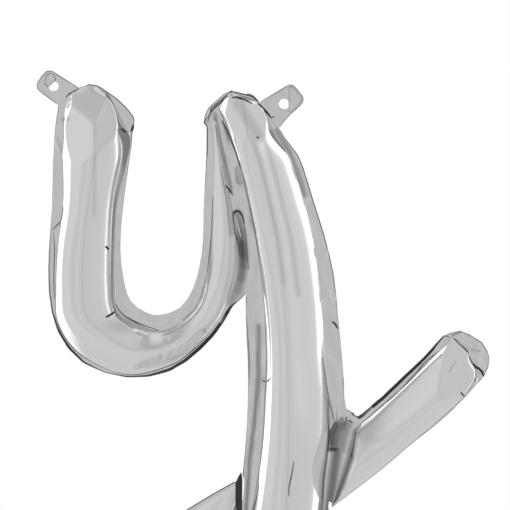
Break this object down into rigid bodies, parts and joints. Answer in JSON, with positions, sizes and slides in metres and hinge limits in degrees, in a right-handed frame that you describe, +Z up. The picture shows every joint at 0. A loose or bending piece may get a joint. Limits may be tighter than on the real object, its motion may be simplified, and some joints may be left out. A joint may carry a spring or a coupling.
{
  "type": "script letter foil balloon",
  "caption": "Inflated silver foil balloon shaped as a lowercase script letter y, with flat sealed edges, hanging tabs with punched holes and a flat inflation flap.",
  "frame": {"origin": "midway between the centres of the two hanging tabs' punched holes, on the seam plane between front and back film", "axes": "+Z up the letter, +X to the reader's right, the front faces -Y"},
  "size_m": [0.43, 0.0766, 0.5632],
  "materials": {
    "foil_front": "bright vacuum-metallised plastic film, inflated, front",
    "foil_back": "bright vacuum-metallised plastic film, inflated, back",
    "foil_tab": "two metallised films sealed flat together"
  },
  "bodies": {
    "envelope": {"front_film": "foil_front", "back_film": "foil_back"},
    "left_tab": {"hang_tab_left": "foil_tab"},
    "right_tab": {"hang_tab_right": "foil_tab"},
    "flap": {"inflation_flap": "foil_tab"}
  },
  "joints": [
    {"name": "left_tab_fold", "type": "hinge", "parent": "envelope", "child": "left_tab", "pos_m": [-0.09547, 0, -0.00095], "axis": [0.8191, 0, 0.5737], "range_deg": [-70, 70], "stiffness_Nm_per_rad": 0.0006},
    {"name": "right_tab_fold", "type": "hinge", "parent": "envelope", "child": "right_tab", "pos_m": [0.09614, 0, -0.01863], "axis": [0.5889, 0, -0.8082], "range_deg": [-70, 70], "stiffness_Nm_per_rad": 0.0006},
    {"name": "flap_fold", "type": "hinge", "parent": "envelope", "child": "flap", "pos_m": [0.28368, 0, -0.2484], "axis": [0.6332, 0, -0.774], "range_deg": [-70, 70], "stiffness_Nm_per_rad": 0.0006}
  ]
}
